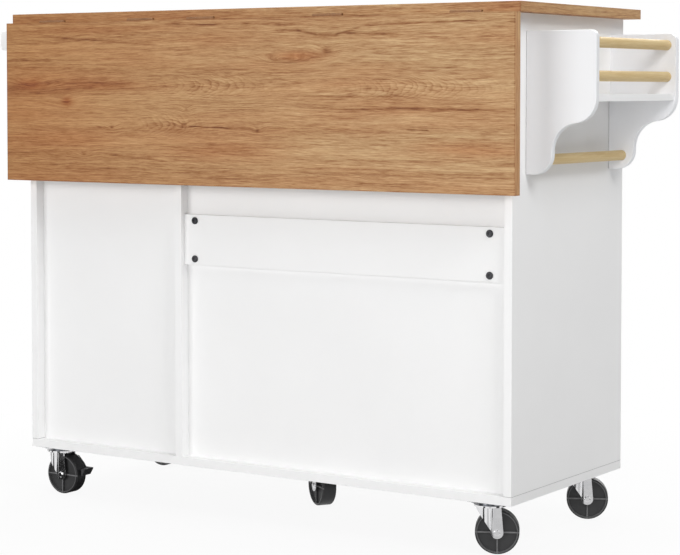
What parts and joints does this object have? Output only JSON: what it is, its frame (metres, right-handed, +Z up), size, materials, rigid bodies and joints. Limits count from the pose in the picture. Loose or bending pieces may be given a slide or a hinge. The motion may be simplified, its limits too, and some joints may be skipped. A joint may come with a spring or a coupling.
{
  "type": "extendable kitchen island",
  "caption": "Rolling kitchen island: white cupboards and drawers under an oak-look worktop, a folding rear leaf, a spice rack with towel bar, a towel holder and swivel casters.",
  "frame": {"origin": "On the floor, under the middle of the bounding box at rest, with the leaf hanging.", "axes": "+Z up; the doors and drawers face -Y and the hanging leaf +Y; +X runs along the length, with the spice rack at -X and the towel holder at +X."},
  "size_m": [1.3, 0.4774, 0.924],
  "materials": {
    "white_board": "smooth white laminate on board",
    "oak_board": "oak-look satin laminate with knots, grain along the length",
    "pine_dowel": "pale sanded pine",
    "drawer_board": "plain white board, matt",
    "black_steel": "black oxide, satin",
    "white_steel": "white powder coat",
    "zinc_steel": "bright zinc plate, pressed sheet",
    "dark_steel": "dark zinc plate",
    "black_tread": "moulded black plastic, satin",
    "black_plastic": "moulded black plastic",
    "knob_steel": "brushed satin",
    "steel": "zinc-plated sheet and screws"
  },
  "bodies": {
    "cabinet": {"bottom_board": "white_board", "left_side": "white_board", "right_side": "white_board", "divider": "white_board", "back_panels": "white_board", "rear_rail": "white_board", "rear_rail_bolts": "black_steel", "stretchers": "white_board", "middle_boards": "white_board", "shelves": "white_board", "shelf_pins": "steel", "worktop": "oak_board", "fixed_runners": "steel", "rack_rear_panel": "white_board", "rack_front_panel": "white_board", "rack_shelf": "white_board", "rack_back": "white_board", "rack_rails": "pine_dowel", "holder_arms": "white_board", "holder_bar": "pine_dowel", "leaf_hinge_plates": "steel", "support_channels": "white_steel", "caster_plates": "dark_steel", "caster_screws": "steel", "door_hinge_plates": "steel"},
    "leaf": {"drop_leaf": "oak_board", "leaf_hinge_flaps": "steel", "leaf_arms": "white_steel"},
    "stays": {"leaf_stays": "white_steel"},
    "left_door": {"left_door": "white_board", "left_door_knob": "knob_steel", "left_door_hinges": "steel"},
    "middle_door": {"middle_door": "white_board", "middle_door_knob": "knob_steel", "middle_door_hinges": "steel"},
    "right_door": {"right_door": "white_board", "right_door_knob": "knob_steel", "right_door_hinges": "steel"},
    "wide_drawer": {"wide_drawer_front": "white_board", "wide_drawer_box": "drawer_board", "wide_drawer_runners": "steel", "wide_drawer_knobs": "knob_steel"},
    "narrow_drawer": {"narrow_drawer_front": "white_board", "narrow_drawer_box": "drawer_board", "narrow_drawer_runners": "steel", "narrow_drawer_knob": "knob_steel"},
    "rear_left_fork": {"rear_left_fork": "zinc_steel"},
    "rear_left_wheel": {"rear_left_wheel": "black_tread"},
    "rear_right_fork": {"rear_right_fork": "zinc_steel"},
    "rear_right_wheel": {"rear_right_wheel": "black_tread"},
    "rear_right_pedal": {"rear_right_pedal": "black_plastic"},
    "front_left_fork": {"front_left_fork": "zinc_steel"},
    "front_left_wheel": {"front_left_wheel": "black_tread"},
    "front_right_fork": {"front_right_fork": "zinc_steel"},
    "front_right_wheel": {"front_right_wheel": "black_tread"},
    "front_right_pedal": {"front_right_pedal": "black_plastic"},
    "centre_fork": {"centre_fork": "zinc_steel"},
    "centre_wheel": {"centre_wheel": "black_tread"}
  },
  "joints": [
    {"name": "leaf_hinge", "type": "hinge", "parent": "cabinet", "child": "leaf", "pos_m": [0.0055, 0.22275, 0.908], "axis": [1, 0, 0], "range_deg": [0, 90]},
    {"name": "stay_fold", "type": "hinge", "parent": "leaf", "child": "stays", "pos_m": [0.0055, 0.21575, 0.798], "axis": [1, 0, 0], "range_deg": [-134.83, 0]},
    {"name": "left_door_hinge", "type": "hinge", "parent": "cabinet", "child": "left_door", "pos_m": [-0.50475, -0.21805, 0.5], "axis": [0, 0, 1], "range_deg": [-100, 0]},
    {"name": "middle_door_hinge", "type": "hinge", "parent": "cabinet", "child": "middle_door", "pos_m": [0.16475, -0.21805, 0.5], "axis": [0, 0, 1], "range_deg": [0, 90]},
    {"name": "right_door_hinge", "type": "hinge", "parent": "cabinet", "child": "right_door", "pos_m": [0.51575, -0.21805, 0.5], "axis": [0, 0, 1], "range_deg": [0, 100]},
    {"name": "wide_drawer_slide", "type": "slide", "parent": "cabinet", "child": "wide_drawer", "axis": [0, -1, 0], "range_m": [0, 0.3]},
    {"name": "narrow_drawer_slide", "type": "slide", "parent": "cabinet", "child": "narrow_drawer", "axis": [0, -1, 0], "range_m": [0, 0.3]},
    {"name": "rear_left_swivel", "type": "hinge", "parent": "cabinet", "child": "rear_left_fork", "pos_m": [-0.462, 0.16625, 0.085], "axis": [0, 0, 1], "continuous": true},
    {"name": "rear_left_roll", "type": "hinge", "parent": "rear_left_fork", "child": "rear_left_wheel", "pos_m": [-0.47259, 0.16062, 0.0375], "axis": [0.4695, -0.8829, 0], "continuous": true},
    {"name": "rear_right_swivel", "type": "hinge", "parent": "cabinet", "child": "rear_right_fork", "pos_m": [0.487, 0.16625, 0.085], "axis": [0, 0, 1], "continuous": true},
    {"name": "rear_right_roll", "type": "hinge", "parent": "rear_right_fork", "child": "rear_right_wheel", "pos_m": [0.475, 0.16625, 0.0375], "axis": [0, -1, 0], "continuous": true},
    {"name": "rear_right_brake", "type": "hinge", "parent": "rear_right_fork", "child": "rear_right_pedal", "pos_m": [0.463, 0.16625, 0.066], "axis": [0, -1, 0], "range_deg": [0, 6]},
    {"name": "front_left_swivel", "type": "hinge", "parent": "cabinet", "child": "front_left_fork", "pos_m": [-0.462, -0.17175, 0.085], "axis": [0, 0, 1], "continuous": true},
    {"name": "front_left_roll", "type": "hinge", "parent": "front_left_fork", "child": "front_left_wheel", "pos_m": [-0.47269, -0.1772, 0.0375], "axis": [0.454, -0.891, 0], "continuous": true},
    {"name": "front_right_swivel", "type": "hinge", "parent": "cabinet", "child": "front_right_fork", "pos_m": [0.487, -0.17175, 0.085], "axis": [0, 0, 1], "continuous": true},
    {"name": "front_right_roll", "type": "hinge", "parent": "front_right_fork", "child": "front_right_wheel", "pos_m": [0.499, -0.17175, 0.0375], "axis": [0, 1, 0], "continuous": true},
    {"name": "front_right_brake", "type": "hinge", "parent": "front_right_fork", "child": "front_right_pedal", "pos_m": [0.511, -0.17175, 0.066], "axis": [0, 1, 0], "range_deg": [0, 6]},
    {"name": "centre_swivel", "type": "hinge", "parent": "cabinet", "child": "centre_fork", "pos_m": [0.0055, -0.01475, 0.085], "axis": [0, 0, 1], "continuous": true},
    {"name": "centre_roll", "type": "hinge", "parent": "centre_fork", "child": "centre_wheel", "pos_m": [-0.00445, -0.00804, 0.0375], "axis": [-0.5592, -0.829, 0], "continuous": true}
  ],
  "couplings": [
    {"joint": "stay_fold", "follows": "leaf_hinge", "ratio": -1.4981}
  ]
}
